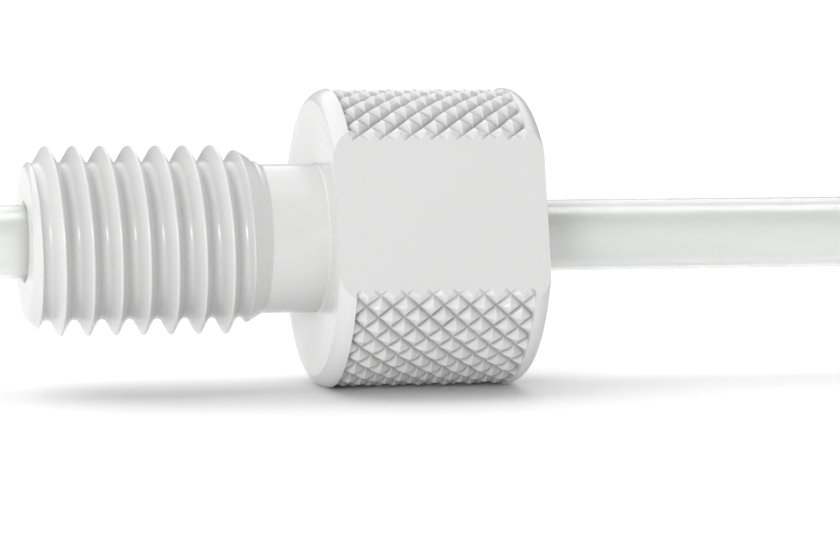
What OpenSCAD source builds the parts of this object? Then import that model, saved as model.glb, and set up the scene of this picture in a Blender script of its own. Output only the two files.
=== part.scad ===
/* [Thread] */
// Major diameter of the thread, over its crests (1/4-28 UNF)
thread_d = 6.2; // [5.9:0.05:6.35]
// Distance from one crest to the next
thread_pitch = 0.907; // [0.85:0.001:1.0]
// Radius that rounds each crest
crest_round = 0.05; // [0.03:0.01:0.07]
// Radius that rounds each root
root_round = 0.2; // [0.1:0.01:0.22]
// Distance from the nose to where the first crest crosses the top
first_crest = 0.7; // [0.3:0.05:1.2]
// Distance from the nose to where the runout cone starts
thread_l = 6.64; // [5.5:0.02:8]
// Angle of the runout cone, from the axis
runout_angle = 30; // [20:1:40]

/* [Nose and neck] */
// Diameter at which the nose face would meet its 45 degree chamfer
nose_d = 4.94; // [4.7:0.02:5.1]
// Radius that rounds the nose into its chamfer
nose_round = 0.29; // [0.05:0.01:0.5]
// Diameter of the plain neck behind the thread
neck_d = 4.9; // [4.4:0.05:5]
// Distance from the nose to the rim of the head
shoulder_x = 9.5; // [9.2:0.1:12]

/* [Head] */
// Diameter of the head over its smooth edges
head_d = 9.9; // [9.6:0.05:10.6]
// Length of the head, from rim to end face
head_l = 7; // [5:0.1:9]
// Diameter of the flat rim that faces the thread
rim_d = 9.14; // [8.9:0.02:9.3]
// Radius that rounds the head's edge on the thread side
front_round = 0.75; // [0.4:0.05:0.9]
// Diameter of the end face
end_d = 9.18; // [8.9:0.02:9.3]
// Radius that rounds the head's edge on the end face
end_round = 0.6; // [0.4:0.05:0.9]
// Depth of the shallow dish around the neck
dish_depth = 0.15; // [0.05:0.01:0.4]
// Width of the flat land round the dish
dish_land = 0.5; // [0.45:0.05:0.7]
// Distance across the two finger flats
flats_af = 8.25; // [7.9:0.05:8.6]
// How far the flats lean back from upright, as the fitting lies
flats_lean = 15; // [0:1:40]

/* [Knurl] */
// Pyramids in one ring round the head
knurl_count = 35; // [28:1:40]
// Steps along the knurl, each half a pyramid long
knurl_rows = 14; // [10:1:16]
// Depth of the grooves between pyramids
knurl_depth = 0.26; // [0.15:0.01:0.32]
// Length of smooth edge left at each end of the knurl
knurl_margin = 0.5; // [0.4:0.02:0.7]

/* [Bore] */
// Radial clearance between tubing and bore
tube_clearance = 0.05; // [0.02:0.01:0.09]
// Size of the 45 degree chamfer at each mouth of the bore
mouth_chamfer = 0.1; // [0.05:0.01:0.3]

/* [Tubing] */
// Outer diameter of the tubing (3/32 in)
tube_od = 2.38; // [2:0.01:2.6]
// Inner diameter of the tubing (1/16 in)
tube_id = 1.59; // [0.8:0.01:1.7]
// Length of tubing ahead of the nose
tube_ahead = 1.5; // [1:0.1:6]
// Length of tubing behind the head
tube_behind = 20; // [8:0.5:40]

/* [Hidden] */
$fn = 96;

// Half angle of the thread's V, from the radial direction
thread_half = 30;
// Straight steps round one turn of the thread
thread_steps = 36;
// Overlap by which joined forms share material
weld = 0.05;
// Overshoot of what cuts, past what it cuts
over = 1;
// How far the pyramids' points stay below the smooth edges
point_drop = 0.03;

crest_r = thread_d / 2;
apex_r = crest_r + crest_round * (1 / sin(thread_half) - 1);
root_r = apex_r - thread_pitch / 2 / tan(thread_half) + root_round * (1 / sin(thread_half) - 1);
neck_r = neck_d / 2;
neck_x = thread_l + (crest_r - neck_r) / tan(runout_angle);
nose_r = nose_d / 2;
head_r = head_d / 2;
head_end = shoulder_x + head_l;
knurl_start = shoulder_x + knurl_margin;
knurl_end = head_end - knurl_margin;
knurl_r = head_r - point_drop;
groove_r = knurl_r - knurl_depth;
core_r = groove_r - 2 * weld;
bore_r = tube_od / 2 + tube_clearance;

// Arc of [radius, distance along the axis] points, with angles from the outward radial
function arc(r, x, round, from, to, steps) =
    [for (i = [0:steps]) let (a = from + (to - from) * i / steps) [r + round * cos(a), x + round * sin(a)]];

// One pitch of the thread, from its crest through its root
thread_form = concat(
    arc(crest_r - crest_round, 0, crest_round, thread_half - 90, 90 - thread_half, 2),
    arc(root_r + root_round, thread_pitch / 2, root_round, 270 - thread_half, 90 + thread_half, 3));

// Lays what is modelled along Z along X
module along_x() {
    rotate([0, 90, 0]) children();
}

// Turns a half section, drawn as [radius, distance along the axis], about the X axis
module turned() {
    along_x() rotate_extrude() children();
}

// Right-hand screw along X whose form crosses the top at the given start, past both ends of 0 to length
module screw(form, pitch, start, length) {
    n = len(form);
    turns = ceil(length / pitch) + 3;
    m = turns * n;
    steps = thread_steps;
    base = start - 2.5 * pitch;
    function on_turn(t, k, a) =
        [form[k][0] * cos(a), form[k][0] * sin(a), base + form[k][1] + pitch * (t + a / 360)];
    columns = [for (j = [0:steps - 1]) for (t = [0:turns - 1]) for (k = [0:n - 1])
        on_turn(t, k, 360 * j / steps)];
    seam = [for (k = [0:n - 1]) on_turn(turns, k, 0)];
    ends = [[0, 0, base - pitch], [0, 0, base + pitch * (turns + 2)]];
    low = steps * m + n;
    function at(j, i) = j < steps ? j * m + i : i + n < m ? i + n : steps * m + i + n - m;
    walls = [for (j = [0:steps - 1]) for (i = [0:m - 2])
        each [[at(j, i), at(j, i + 1), at(j + 1, i + 1)], [at(j, i), at(j + 1, i + 1), at(j + 1, i)]]];
    low_cap = concat(
        [for (j = [0:steps - 1]) [low, at(j, 0), at(j + 1, 0)]],
        [for (k = [0:n - 1]) [low, k + 1, k]]);
    high_cap = concat(
        [for (j = [0:steps - 1]) [low + 1, at(j + 1, m - 1), at(j, m - 1)]],
        [for (k = [0:n - 1]) [low + 1, k == 0 ? m - 1 : steps * m + k - 1, steps * m + k]]);
    along_x() polyhedron(concat(columns, seam, ends), concat(walls, low_cap, high_cap), convexity = 20);
}

// Drum along X covered in interlocking four-sided pyramids
module knurled_drum(from, to, rows) {
    steps = 2 * knurl_count;
    row_l = (to - from) / rows;
    function ring(x, r_even, r_odd) =
        [for (i = [0:steps - 1]) let (r = i % 2 == 0 ? r_even : r_odd, a = 360 * i / steps)
            [r * cos(a), r * sin(a), x]];
    rings = concat(
        ring(from - weld, core_r, core_r),
        [for (k = [0:rows])
            each k % 2 == 0
                ? ring(from + k * row_l, groove_r, knurl_r)
                : ring(from + k * row_l, knurl_r, groove_r)],
        ring(to + weld, core_r, core_r));
    ends = [[0, 0, from - weld], [0, 0, to + weld]];
    low = (rows + 3) * steps;
    function at(k, i) = k * steps + i % steps;
    // Each cell folds along the line that joins its two groove points
    walls = [for (k = [0:rows + 1]) for (i = [0:steps - 1])
        each (i + k) % 2 == 1
            ? [[at(k, i), at(k + 1, i + 1), at(k, i + 1)], [at(k, i), at(k + 1, i), at(k + 1, i + 1)]]
            : [[at(k, i), at(k + 1, i), at(k, i + 1)], [at(k, i + 1), at(k + 1, i), at(k + 1, i + 1)]]];
    caps = [for (i = [0:steps - 1])
        each [[low, at(0, i), at(0, i + 1)], [low + 1, at(rows + 2, i + 1), at(rows + 2, i)]]];
    along_x() polyhedron(concat(rings, ends), concat(walls, caps), convexity = 10);
}

// Threaded shank with its chamfered nose and its runout down to the neck
module threaded_shank() {
    nose_edge = arc(nose_r - nose_round * tan(22.5), nose_round, nose_round, -90, -45, 3);
    intersection() {
        screw(thread_form, thread_pitch, first_crest, neck_x);
        turned()
            polygon(concat(
                [[0, 0]],
                nose_edge,
                [[crest_r + over, crest_r - nose_r + over],
                 [crest_r + over, thread_l - over / tan(runout_angle)],
                 [neck_r, neck_x],
                 [0, neck_x]]));
    }
}

// Half section of one smooth edge of the head: solid from one distance to the other, with its rim
// rounded about a centre at the given distance
module rounded_edge(centre, round, from, to) {
    intersection() {
        union() {
            translate([head_r - round, centre])
                circle(round);
            square([head_r - round, head_end]);
        }
        translate([0, from])
            square([head_r, to - from]);
    }
}

// Distance from a rounding's centre to the face that it meets at the given radius
function reach(round, face_r) = sqrt(pow(round, 2) - pow(face_r - head_r + round, 2));

// Neck and head as turned, with the band between the smooth edges left down at the core
module turned_blank() {
    front_wall = knurl_start + weld;
    end_wall = knurl_end - weld;
    dish_r = rim_d / 2 - dish_land;
    turned() {
        translate([0, neck_x - over])
            square([neck_r, head_end - neck_x + over]);
        translate([0, shoulder_x + dish_depth])
            square([core_r - weld, head_l - dish_depth]);
        difference() {
            rounded_edge(shoulder_x + reach(front_round, rim_d / 2), front_round, shoulder_x, front_wall);
            polygon([
                [neck_r, shoulder_x + dish_depth],
                [neck_r, shoulder_x - over],
                [dish_r, shoulder_x - over],
                [dish_r, shoulder_x]]);
        }
        rounded_edge(head_end - reach(end_round, end_d / 2), end_round, end_wall, head_end);
    }
}

// The nut: thread, neck and knurled head with two flats, bored through for the tubing
module nut() {
    color("gainsboro")
    difference() {
        union() {
            threaded_shank();
            turned_blank();
            knurled_drum(knurl_start, knurl_end, knurl_rows);
        }
        for (side = [0, 180])
            rotate([side - flats_lean, 0, 0])
                translate([shoulder_x - over, flats_af / 2, -head_d])
                    cube([head_l + 2 * over, head_d, 2 * head_d]);
        turned()
            polygon([
                [0, -over],
                [bore_r + mouth_chamfer + over, -over],
                [bore_r, mouth_chamfer],
                [bore_r, head_end - mouth_chamfer],
                [bore_r + mouth_chamfer + over, head_end + over],
                [0, head_end + over]]);
    }
}

// The tubing that runs through the nut
module tube() {
    color("lightgray")
    along_x()
        translate([0, 0, -tube_ahead])
            difference() {
                cylinder(d = tube_od, h = tube_ahead + head_end + tube_behind);
                translate([0, 0, -over])
                    cylinder(d = tube_id, h = tube_ahead + head_end + tube_behind + 2 * over);
            }
}

nut();
tube();
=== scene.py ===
import math

import bpy
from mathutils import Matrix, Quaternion, Vector, noise


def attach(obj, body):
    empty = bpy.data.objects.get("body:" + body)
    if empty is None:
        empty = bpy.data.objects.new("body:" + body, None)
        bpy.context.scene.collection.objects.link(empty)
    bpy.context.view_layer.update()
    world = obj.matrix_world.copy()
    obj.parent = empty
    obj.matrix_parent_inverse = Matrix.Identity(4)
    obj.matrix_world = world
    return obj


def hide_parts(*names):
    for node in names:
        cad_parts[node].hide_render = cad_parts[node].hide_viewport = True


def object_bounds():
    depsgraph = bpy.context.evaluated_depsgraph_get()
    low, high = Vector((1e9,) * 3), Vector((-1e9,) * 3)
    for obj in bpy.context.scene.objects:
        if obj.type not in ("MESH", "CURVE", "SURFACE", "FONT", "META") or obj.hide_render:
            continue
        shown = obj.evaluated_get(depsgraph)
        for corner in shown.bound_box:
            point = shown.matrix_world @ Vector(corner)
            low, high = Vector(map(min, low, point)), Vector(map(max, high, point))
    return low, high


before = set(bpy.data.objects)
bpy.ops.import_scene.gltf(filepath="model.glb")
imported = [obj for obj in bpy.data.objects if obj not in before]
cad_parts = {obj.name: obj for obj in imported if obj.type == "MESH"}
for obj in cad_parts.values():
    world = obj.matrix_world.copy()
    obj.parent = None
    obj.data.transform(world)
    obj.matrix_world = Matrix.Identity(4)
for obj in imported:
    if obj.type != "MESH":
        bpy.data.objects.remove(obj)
cad_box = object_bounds()

# Sizes are in millimetres until a finished piece is scaled to metres, and bare angles in degrees
MM = 0.001

# Thread
PITCH = 0.907
CREST_R = 3.1
CREST_ROUND = 0.05
ROOT_ROUND = 0.2
FIRST_CREST = 0.7
FLANK = math.radians(30)
THREAD_L = 6.64
RUNOUT = math.radians(30)
THREAD_TURNS = 11
THREAD_STEPS = 144
CREST_STEPS = 2
FLANK_STEPS = 6
ROOT_STEPS = 8
EDGE_SOFTNESS = 0.035

# Nose and neck, and the threaded stretch that is made on its own between them
NOSE_R = 2.47
NOSE_ROUND = 0.29
NOSE_STEPS = 6
CHAMFER = 45
NECK_R = 2.45
NECK_FILLET = 0.06
NECK_FILLET_TURN = 84
NECK_FILLET_STEPS = 4
SHANK_FROM = 0.09
SHANK_TO = 7.9
SHANK_GAP = 0.05

# Head
SHOULDER_X = 9.5
HEAD_END = 16.5
HEAD_R = 4.95
RIM_R = 4.57
FRONT_ROUND = 0.75
END_FACE_R = 4.59
END_ROUND = 0.6
ROUND_STEPS = 10
ROUND_TRIM = 1.5
DISH_R = 4.07
DISH_DEPTH = 0.15
DISH_EASE = 0.006
CORNER = 0.03
FLAT_DISTANCE = 4.125
FLAT_LEAN = math.radians(15)
HEAD_STEPS = 280

# Knurl, with a low step up to the plain edge at each end
KNURL_FROM = 10.0
KNURL_TO = 16.0
KNURL_WALL = 0.05
WALL_FROM = KNURL_FROM + KNURL_WALL
WALL_TO = KNURL_TO - KNURL_WALL
WALL_TRIM = 0.02
WALL_TOP = HEAD_R - 0.012
WALL_TOP_AWAY = 0.013
WALL_FOOT = HEAD_R - 0.025
WALL_FOOT_AWAY = 0.01
KNURL_ROWS = 14
KNURL_STEPS = 70
GROOVE_R = 4.66
PEAK_R = 4.92

# A diamond from its groove upwards, as shares of its half width and of its depth
DIAMOND = [(0, 0), (0.08, 0.13), (0.22, 0.38), (0.45, 0.66), (0.7, 0.86), (0.88, 0.965)]
DIAMOND_TIP = 0.03

# Unevenness of the knurl, as two noises of their own fineness and size
UNEVEN_SEED = 5
SLOW_FINENESS = 2.1
SLOW_SIZE = 0.022
QUICK_FINENESS = 6.7
QUICK_SIZE = 0.014
QUICK_OFFSET = Vector((5, 1, 7))
CALM_BESIDE_WALL = 0.2

# Where the knurl's grooves run shallower beside the finger flats
SHALLOW_FROM = 3.75
SHALLOW_OVER = 0.35
SHALLOW_R = PEAK_R - 0.06
SHALLOW_SHARE = 0.85

# Bore and tubing
BORE_R = 1.24
MOUTH = 0.1
TUBE_R = 1.19
TUBE_BORE_R = 0.795
TUBE_EDGE = 0.05
TUBE_FROM = -1.5
TUBE_TO = 36.5
TUBE_STEPS = 128

# Painted shade in the grooves, a darker base colour standing in for the shade that falls there: the
# thread's fades out along its runout
GROOVE_SHADE = 0.42
THREAD_SHADE = 0.3
THREAD_SHADE_DEPTH = 0.53
THREAD_SHADE_END = 7.5
THREAD_SHADE_R = BORE_R + 0.5
KNURL_SHADE_POWER = 4
KNURL_SHADE_R = GROOVE_R - 0.1
KNURL_SHADE_ACROSS = FLAT_DISTANCE - 0.02

# Faces that meet at less than this are smoothed, unless the edge between them is marked sharp
SMOOTH_BELOW = math.radians(40)


# ---------------------------------------------------------------- bench


def deselect():
    if bpy.context.mode != "OBJECT":
        bpy.ops.object.mode_set(mode="OBJECT")
    bpy.ops.object.select_all(action="DESELECT")


def pick(piece):
    deselect()
    piece.select_set(True)
    bpy.context.view_layer.objects.active = piece


def edit_all(piece, mode="VERT"):
    pick(piece)
    bpy.ops.object.mode_set(mode="EDIT")
    bpy.ops.mesh.select_mode(type=mode)
    bpy.ops.mesh.select_all(action="SELECT")


def done():
    bpy.ops.object.mode_set(mode="OBJECT")


def apply_place(piece):
    """Puts the place, turn and scale of a piece into its mesh."""
    pick(piece)
    bpy.ops.object.transform_apply(location=True, rotation=True, scale=True)


def apply_modifiers(piece):
    pick(piece)
    for modifier in list(piece.modifiers):
        bpy.ops.object.modifier_apply(modifier=modifier.name)


def arc(x, r, rounding, start, stop, steps):
    """Points of an arc as (distance along the axis, radius), with degrees from the outward radial."""
    turns = [math.radians(start + (stop - start) * i / steps) for i in range(steps + 1)]
    return [(x + rounding * math.sin(a), r + rounding * math.cos(a)) for a in turns]


def draw_section(name, points):
    """Half section drawn point by point above the X axis."""
    deselect()
    bpy.ops.mesh.primitive_plane_add(size=0.1, location=(0, 0, 0))
    piece = bpy.context.object
    piece.name = name
    piece.data.name = name
    edit_all(piece)
    bpy.ops.mesh.merge(type="CENTER")
    bpy.ops.transform.translate(value=(points[0][0], 0, points[0][1]))
    for (x0, r0), (x1, r1) in zip(points, points[1:]):
        step = (x1 - x0, 0, r1 - r0)
        bpy.ops.mesh.extrude_region_move(TRANSFORM_OT_translate={"value": step})
    done()
    return piece


def turn(piece, steps, pitch=0.0, turns=1):
    """Turns a half section about the X axis, advancing by the pitch with each turn."""
    screw = piece.modifiers.new("turning", "SCREW")
    screw.axis = "X"
    screw.angle = 2 * math.pi
    screw.screw_offset = pitch
    screw.iterations = turns
    screw.steps = screw.render_steps = steps
    screw.use_merge_vertices = pitch == 0
    screw.merge_threshold = 1e-5
    apply_modifiers(piece)
    weld(piece)


def weld(piece, distance=1e-4):
    edit_all(piece)
    bpy.ops.mesh.remove_doubles(threshold=distance)
    bpy.ops.mesh.normals_make_consistent(inside=False)
    done()


def saw(piece, x, side):
    """Cuts a piece square to the axis, and takes off what lies on the side given as -1 or 1."""
    edit_all(piece)
    bpy.ops.mesh.bisect(plane_co=(x, 0, 0), plane_no=(side, 0, 0), clear_outer=True, threshold=1e-5)
    done()


def repeat(piece, count, offset):
    array = piece.modifiers.new("repeat", "ARRAY")
    array.use_relative_offset = False
    array.use_constant_offset = True
    array.constant_offset_displace = offset
    array.count = count


def join(pieces, name):
    deselect()
    for piece in pieces:
        piece.select_set(True)
    bpy.context.view_layer.objects.active = pieces[0]
    bpy.ops.object.join()
    joined = bpy.context.object
    joined.name = name
    joined.data.name = name
    return joined


def bridge_gap(piece, x, reach=0.06):
    """Closes the gap between the two open rims that lie near a distance along the axis."""
    edit_all(piece, "EDGE")
    bpy.ops.mesh.select_all(action="DESELECT")
    done()
    mesh = piece.data
    uses = {}
    for polygon in mesh.polygons:
        for key in polygon.edge_keys:
            uses[key] = uses.get(key, 0) + 1
    for edge in mesh.edges:
        near = all(abs(mesh.vertices[v].co.x - x) <= reach for v in edge.vertices)
        edge.select = near and uses.get(edge.key, 0) == 1
    bpy.ops.object.mode_set(mode="EDIT")
    bpy.ops.mesh.bridge_edge_loops()
    done()


def set_radius(vertex, radius):
    """Moves a vertex straight out from the axis, or in, to a radius."""
    x, y, z = vertex.co
    r = math.hypot(y, z)
    vertex.co = (x, y * radius / r, z * radius / r)


def keep_faces_flat(piece):
    """Marks every edge sharp, so that smoothing leaves each small face of the piece flat."""
    edit_all(piece, "EDGE")
    bpy.ops.mesh.mark_sharp()
    done()


def to_metres(piece):
    """Scales a finished piece to metres in place and smooths what isn't a sharp edge."""
    edit_all(piece)
    bpy.ops.mesh.normals_make_consistent(inside=False)
    done()
    piece.scale = (MM, MM, MM)
    apply_place(piece)
    bpy.ops.object.shade_smooth_by_angle(angle=SMOOTH_BELOW, keep_sharp_edges=True)


def paint(piece, finish):
    """Gives the whole piece one finish, whatever slots its parts brought along."""
    piece.data.materials.clear()
    piece.data.materials.append(finish)
    for polygon in piece.data.polygons:
        polygon.material_index = 0


def share(value):
    """Holds a value between 0 and 1."""
    return max(0.0, min(1.0, value))


def smooth_min(a, b, softness):
    near = max(softness - abs(a - b), 0) / softness
    return min(a, b) - near * near * softness / 4


# ---------------------------------------------------------------- finishes


class Value:
    """A shader socket that takes part in sums."""

    def __init__(self, finish, socket):
        self.finish, self.socket = finish, socket

    def sum(self, operation, a, b):
        return self.finish.node("ShaderNodeMath", {"operation": operation}, {0: a, 1: b})

    def __add__(self, other):
        return self.sum("ADD", self, other)

    def __radd__(self, other):
        return self.sum("ADD", other, self)

    def __mul__(self, other):
        return self.sum("MULTIPLY", self, other)

    def __rmul__(self, other):
        return self.sum("MULTIPLY", other, self)


class Finish:
    """A procedural material with one Principled shader."""

    def __init__(self, name, **sockets):
        self.material = bpy.data.materials.new(name)
        self.material.use_nodes = True
        self.tree = self.material.node_tree
        self.shader = self.tree.nodes["Principled BSDF"]
        self.feed(**sockets)

    def feed(self, **sockets):
        self.set(self.shader, {name.replace("_", " "): value for name, value in sockets.items()})

    def set(self, node, sockets):
        for key, value in sockets.items():
            socket = node.inputs[key]
            if isinstance(value, Value):
                self.tree.links.new(value.socket, socket)
            else:
                socket.default_value = value

    def node(self, kind, settings=None, sockets=None, output=0):
        node = self.tree.nodes.new(kind)
        for key, value in (settings or {}).items():
            setattr(node, key, value)
        self.set(node, sockets or {})
        return Value(self, node.outputs[output])

    def noise(self, scale, detail, roughness=0.5):
        place = self.node("ShaderNodeTexCoord", output="Object")
        sockets = {"Vector": place, "Scale": scale, "Detail": detail, "Roughness": roughness}
        return self.node("ShaderNodeTexNoise", sockets=sockets, output="Fac")

    def mix(self, factor, a, b):
        """Blends two colours, which are the node's inputs 6 and 7 and its output 2."""
        return self.node("ShaderNodeMix", {"data_type": "RGBA"}, {0: factor, 6: a, 7: b}, output=2)

    def bump(self, height, distance):
        return self.node("ShaderNodeBump", sockets={"Height": height, "Distance": distance})


def white_plastic():
    """Half glossy white acetal with a fine grain, and shade painted into its base colour down in the
    grooves.
    """
    finish = Finish("white_acetal", IOR=1.45)
    cloud = finish.noise(scale=260, detail=2)
    grain = finish.noise(scale=9000, detail=3, roughness=0.6)
    painted_shade = finish.node("ShaderNodeAttribute", {"attribute_name": "painted_shade"}, output="Fac")
    surface = finish.mix(cloud, (0.62, 0.62, 0.618, 1), (0.64, 0.64, 0.638, 1))
    finish.feed(
        # The base colour darkens towards near black in the grooves, as painted shade
        Base_Color=finish.mix(GROOVE_SHADE * painted_shade, surface, (0.1, 0.1, 0.1, 1)),
        Roughness=0.17 + 0.08 * grain,
        Normal=finish.bump(grain, distance=0.000002),
    )
    return finish.material


def clear_tubing():
    """Clear fluoropolymer, a little milky."""
    finish = Finish("milky_tubing", IOR=1.35, Transmission_Weight=0.66)
    cloud = finish.noise(scale=400, detail=2)
    finish.feed(
        Base_Color=finish.mix(cloud, (0.90, 0.915, 0.90, 1), (0.93, 0.94, 0.925, 1)),
        Roughness=0.16 + 0.1 * cloud,
    )
    return finish.material


def floor_paint():
    white = (0.96, 0.96, 0.96, 1)
    return Finish("light_table", Base_Color=white, Roughness=0.9, Specular_IOR_Level=0.1).material


# ---------------------------------------------------------------- nut


def envelope(x):
    """Radius that the nose chamfer and the runout leave at a distance along the axis."""
    chamfer = NOSE_R + x * math.tan(math.radians(CHAMFER))
    runout = CREST_R - (x - THREAD_L) * math.tan(RUNOUT)
    return max(min(chamfer, runout), NECK_R if x > THREAD_L else 0)


def flank(start, stop):
    """Points on a straight flank between its two ends."""
    (x0, r0), (x1, r1) = start, stop
    return [
        (x0 + (x1 - x0) * i / FLANK_STEPS, r0 + (r1 - r0) * i / FLANK_STEPS)
        for i in range(1, FLANK_STEPS)
    ]


def thread_form():
    """One pitch of the thread, from the middle of a crest to the middle of the next."""
    lean = math.degrees(FLANK)
    past_round = 1 / math.sin(FLANK) - 1
    apex_r = CREST_R + CREST_ROUND * past_round
    root_r = apex_r - PITCH / 2 / math.tan(FLANK) + ROOT_ROUND * past_round
    start = FIRST_CREST - 2 * PITCH
    crest_r = CREST_R - CREST_ROUND
    crest = arc(start, crest_r, CREST_ROUND, 0, 90 - lean, CREST_STEPS)
    root = arc(start + PITCH / 2, root_r + ROOT_ROUND, ROOT_ROUND, 270 - lean, 90 + lean, ROOT_STEPS)
    next_crest = arc(start + PITCH, crest_r, CREST_ROUND, lean - 90, 0, CREST_STEPS)
    return crest + flank(crest[-1], root[0]) + root + flank(root[-1], next_crest[0]) + next_crest


def threaded_shank():
    """The threaded stretch, cut to the chamfer and the runout with softened edges."""
    shank = draw_section("shank", thread_form())
    turn(shank, THREAD_STEPS, PITCH, THREAD_TURNS)
    for vertex in shank.data.vertices:
        x, y, z = vertex.co
        set_radius(vertex, smooth_min(math.hypot(y, z), envelope(x), EDGE_SOFTNESS))
    saw(shank, SHANK_FROM, -1)
    saw(shank, SHANK_TO, 1)
    return shank


def neck_and_front_edge():
    centre_x = SHOULDER_X + math.sqrt(FRONT_ROUND**2 - (RIM_R - HEAD_R + FRONT_ROUND) ** 2)
    centre_r = HEAD_R - FRONT_ROUND
    rim = math.degrees(math.asin((SHOULDER_X - centre_x) / FRONT_ROUND))
    last = math.degrees(math.asin((WALL_FROM - WALL_TRIM - centre_x) / FRONT_ROUND))
    foot_x = SHOULDER_X + DISH_DEPTH - NECK_FILLET
    foot_r = NECK_R + NECK_FILLET
    foot = arc(foot_x, foot_r, -NECK_FILLET, 0, -NECK_FILLET_TURN, NECK_FILLET_STEPS)
    shoulder = [
        (SHOULDER_X + DISH_EASE, DISH_R - 2 * CORNER),
        (SHOULDER_X, DISH_R + CORNER),
        (SHOULDER_X, RIM_R - CORNER),
    ]
    edge = arc(centre_x, centre_r, FRONT_ROUND, rim + ROUND_TRIM, last, ROUND_STEPS)
    wall = [(WALL_FROM - WALL_TOP_AWAY, WALL_TOP), (WALL_FROM - WALL_FOOT_AWAY, WALL_FOOT)]
    neck = [(SHANK_TO + SHANK_GAP, NECK_R), (foot_x, NECK_R)]
    front = draw_section("front", neck + foot[1:] + shoulder + edge + wall)
    turn(front, HEAD_STEPS)
    return front


def end_edge_and_bore():
    """The rounded end edge, the end face, the bore and the nose, as one open section."""
    centre_x = HEAD_END - math.sqrt(END_ROUND**2 - (END_FACE_R - HEAD_R + END_ROUND) ** 2)
    centre_r = HEAD_R - END_ROUND
    face = math.degrees(math.asin((HEAD_END - centre_x) / END_ROUND))
    first = math.degrees(math.asin(max(WALL_TO + WALL_TRIM - centre_x, 0) / END_ROUND))
    wall = [(WALL_TO + WALL_FOOT_AWAY, WALL_FOOT), (WALL_TO + WALL_TOP_AWAY, WALL_TOP)]
    edge = arc(centre_x, centre_r, END_ROUND, first, face - ROUND_TRIM, ROUND_STEPS)
    bore = [
        (HEAD_END, END_FACE_R - CORNER),
        (HEAD_END, BORE_R + MOUTH),
        (HEAD_END - MOUTH, BORE_R),
        (MOUTH, BORE_R),
        (0, BORE_R + MOUTH),
    ]
    nose_r = NOSE_R - NOSE_ROUND * math.tan(math.radians(CHAMFER / 2))
    nose = arc(NOSE_ROUND, nose_r, NOSE_ROUND, -90, CHAMFER - 90, NOSE_STEPS)
    rear = draw_section("rear", wall + edge + bore + nose)
    turn(rear, HEAD_STEPS)
    return rear


def diamond(row, step):
    """One diamond of the knurl, laid flat: X along the axis, Y round the head, Z outwards."""
    deselect()
    bpy.ops.mesh.primitive_plane_add(
        size=math.sqrt(2), location=(0, 0, 0), rotation=(0, 0, math.pi / 4)
    )
    tile = bpy.context.object
    apply_place(tile)
    tile.scale = (row, step, 1)
    apply_place(tile)
    edit_all(tile, "FACE")
    half_width = row * step / math.hypot(row, step)
    depth = PEAK_R - GROOVE_R
    for (w0, h0), (w1, h1) in zip(DIAMOND, DIAMOND[1:]):
        bpy.ops.mesh.inset(thickness=(w1 - w0) * half_width, depth=(h1 - h0) * depth)
    bpy.ops.mesh.poke(offset=DIAMOND_TIP * depth)
    done()
    return tile


def knurled_band():
    """The knurl, laid flat from two interleaved grids of diamonds and then wrapped round."""
    length = KNURL_TO - KNURL_FROM
    row = length / KNURL_ROWS
    step = 2 * math.pi * PEAK_R / KNURL_STEPS
    tile = diamond(row, step)
    tile.location = (0, step, 0)
    pick(tile)
    bpy.ops.object.duplicate()
    between = bpy.context.object
    between.location = (row, 0, 0)
    for piece, rows in ((tile, KNURL_ROWS // 2 + 1), (between, KNURL_ROWS // 2)):
        apply_place(piece)
        repeat(piece, rows, (2 * row, 0, 0))
        repeat(piece, KNURL_STEPS // 2, (0, 2 * step, 0))
        apply_modifiers(piece)
    band = join([tile, between], "knurl")
    weld(band)
    saw(band, KNURL_WALL, -1)
    saw(band, length - KNURL_WALL, 1)
    for vertex in band.data.vertices:
        along, around, height = vertex.co
        angle = around / PEAK_R
        r = GROOVE_R + height
        vertex.co = (KNURL_FROM + along, r * math.sin(angle), -r * math.cos(angle))
    weld(band, distance=1e-3)
    return band


def across_flats(place):
    """Distance from the plane that lies midway between the two finger flats."""
    return abs(place.z * math.sin(FLAT_LEAN) - place.y * math.cos(FLAT_LEAN))


def fill_beside_flats(band):
    """Lets the knurl's grooves run shallower towards the finger flats."""
    for vertex in band.data.vertices:
        r = math.hypot(vertex.co.y, vertex.co.z)
        near_flat = share((across_flats(vertex.co) - SHALLOW_FROM) / SHALLOW_OVER)
        filled = r + (SHALLOW_R - r) * SHALLOW_SHARE * near_flat
        if filled > r:
            set_radius(vertex, filled)


def roughen(band):
    """Moves the knurl's points a little, as a knurling wheel leaves them uneven."""
    noise.seed_set(UNEVEN_SEED)
    for vertex in band.data.vertices:
        place = vertex.co.copy()
        slow = noise.noise_vector(place * SLOW_FINENESS) * SLOW_SIZE
        quick = noise.noise_vector(place * QUICK_FINENESS + QUICK_OFFSET) * QUICK_SIZE
        amount = share(min(place.x - WALL_FROM, WALL_TO - place.x) / CALM_BESIDE_WALL)
        vertex.co = place + (slow + quick) * amount
        if math.hypot(vertex.co.y, vertex.co.z) > WALL_TOP:
            set_radius(vertex, WALL_TOP)


def cut_flat(piece, side):
    """Mills a finger flat with a block laid against the head."""
    size = 10
    turn_by = math.pi / 2 * (1 - side) - FLAT_LEAN
    out = Vector((0, math.cos(turn_by), math.sin(turn_by)))
    middle = Vector(((SHOULDER_X + HEAD_END) / 2, 0, 0))
    place = out * (FLAT_DISTANCE + size / 2) + middle
    deselect()
    bpy.ops.mesh.primitive_cube_add(size=size, location=place, rotation=(turn_by, 0, 0))
    block = bpy.context.object
    cut = piece.modifiers.new("flat", "BOOLEAN")
    cut.operation = "DIFFERENCE"
    cut.solver = "MANIFOLD"
    cut.object = block
    apply_modifiers(piece)
    pick(block)
    bpy.ops.object.delete()


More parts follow.
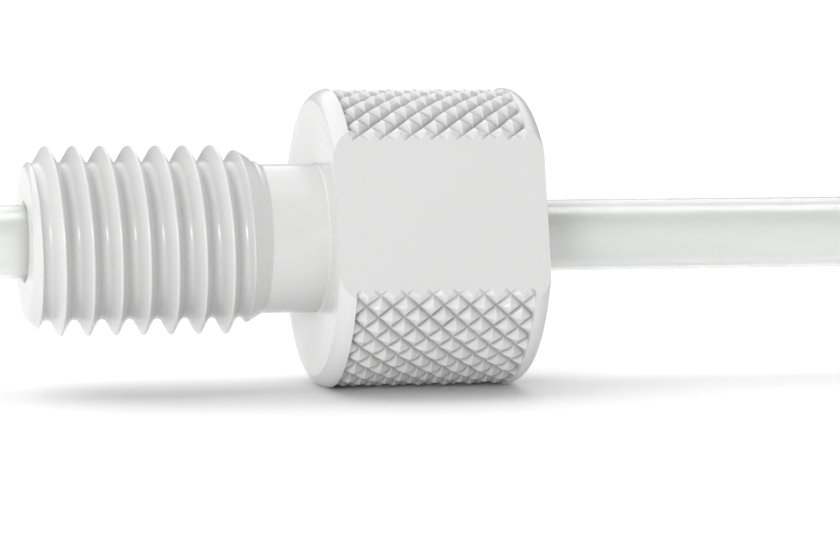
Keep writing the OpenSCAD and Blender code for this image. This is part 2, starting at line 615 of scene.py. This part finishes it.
def painted_shade_at(place):
    """How much painted shade a place gets, from how deep it lies in a groove of the thread or the
    knurl, as a share.
    """
    r = math.hypot(place.y, place.z)
    on_thread = r > THREAD_SHADE_R and SHANK_FROM < place.x < THREAD_SHADE_END
    on_knurl = r > KNURL_SHADE_R and KNURL_FROM < place.x < KNURL_TO
    if on_thread:
        depth = (min(CREST_R, NOSE_R + place.x) - r) / THREAD_SHADE_DEPTH
        return share(depth * (THREAD_SHADE * share(THREAD_SHADE_END - place.x)))
    if on_knurl and across_flats(place) <= KNURL_SHADE_ACROSS:
        return share((PEAK_R - r) / (PEAK_R - GROOVE_R)) ** KNURL_SHADE_POWER
    return 0.0


def mark_painted_shade(piece):
    """Stores at each point how much painted shade it gets from how deep it lies in a groove, for the
    finish to darken its base colour.
    """
    painted_shades = piece.data.attributes.new("painted_shade", "FLOAT", "POINT")
    for vertex, mark in zip(piece.data.vertices, painted_shades.data):
        mark.value = painted_shade_at(vertex.co)


def make_nut():
    shank = threaded_shank()
    front = neck_and_front_edge()
    rear = end_edge_and_bore()
    band = knurled_band()
    fill_beside_flats(band)
    roughen(band)
    nut = join([shank, front, rear, band], "knurled_nut")
    for x in (SHANK_FROM, SHANK_TO, WALL_FROM, WALL_TO):
        bridge_gap(nut, x)
    weld(nut)
    for side in (-1, 1):
        cut_flat(nut, side)
    weld(nut)
    # Painted shade for the grooves, stored at the points
    mark_painted_shade(nut)
    keep_faces_flat(nut)
    to_metres(nut)
    return nut


# ---------------------------------------------------------------- tubing


def make_tubing():
    inner_edge, outer_edge = TUBE_BORE_R + TUBE_EDGE, TUBE_R - TUBE_EDGE
    outline = [
        (TUBE_FROM, inner_edge),
        (TUBE_FROM, outer_edge),
        (TUBE_FROM + TUBE_EDGE, TUBE_R),
        (TUBE_TO - TUBE_EDGE, TUBE_R),
        (TUBE_TO, outer_edge),
        (TUBE_TO, inner_edge),
        (TUBE_TO - TUBE_EDGE, TUBE_BORE_R),
        (TUBE_FROM + TUBE_EDGE, TUBE_BORE_R),
    ]
    tubing = draw_section("tubing", outline + outline[:1])
    turn(tubing, TUBE_STEPS)
    to_metres(tubing)
    return tubing


# ---------------------------------------------------------------- studio, in metres


def make_floor():
    deselect()
    bpy.ops.mesh.primitive_plane_add(size=3, location=(0, 0, cad_box[0].z))
    floor = bpy.context.object
    floor.name = "floor"
    floor.data.materials.append(floor_paint())


def softbox(name, place, target, width, height, power):
    deselect()
    bpy.ops.object.light_add(type="AREA", location=place)
    light = bpy.context.object
    light.name = name
    light.data.shape = "RECTANGLE"
    light.data.size = width
    light.data.size_y = height
    light.data.energy = power
    light.rotation_mode = "QUATERNION"
    light.rotation_quaternion = (Vector(target) - Vector(place)).to_track_quat("-Z", "Y")


def make_lights():
    centre = (0.008, 0, 0)
    softbox("overhead", (-0.15, 0.6, 0.87), (-0.1, 0.45, 0), width=2.1, height=2.0, power=19)
    softbox("left_window", (-0.30, -0.10, 0.05), centre, width=0.20, height=0.15, power=0.10)
    softbox("front_window", (-0.16, -0.28, 0.06), centre, width=0.10, height=0.10, power=0.52)
    world = bpy.data.worlds.new("studio")
    bpy.context.scene.world = world
    world.use_nodes = True
    background = world.node_tree.nodes["Background"]
    background.inputs["Color"].default_value = (1, 1, 1, 1)
    background.inputs["Strength"].default_value = 0.4


def make_camera():
    azimuth, elevation, roll = map(math.radians, (-13.42, 5.52, 0.44))
    target = Vector((13.207, 0, -1.276)) * MM
    distance = 121.6
    level = math.cos(elevation)
    back = Vector((math.sin(azimuth) * level, -math.cos(azimuth) * level, math.sin(elevation)))
    deselect()
    bpy.ops.object.camera_add(location=target + back * distance * MM)
    camera = bpy.context.object
    camera.name = "camera"
    camera.data.sensor_width = 36
    camera.data.lens = 156.5
    camera.data.clip_start = 0.005
    camera.data.clip_end = 10
    camera.rotation_mode = "QUATERNION"
    camera.rotation_quaternion = (-back).to_track_quat("-Z", "Y")
    camera.rotation_quaternion.rotate(Quaternion(back, roll))
    bpy.context.scene.camera = camera


# ---------------------------------------------------------------- assembly

make_camera()
make_floor()
make_lights()

nut = make_nut()
paint(nut, white_plastic())
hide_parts("nut")
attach(nut, "nut")

tubing = make_tubing()
paint(tubing, clear_tubing())
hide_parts("tube")
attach(tubing, "tube")

bpy.context.scene.view_settings.view_transform = "Standard"
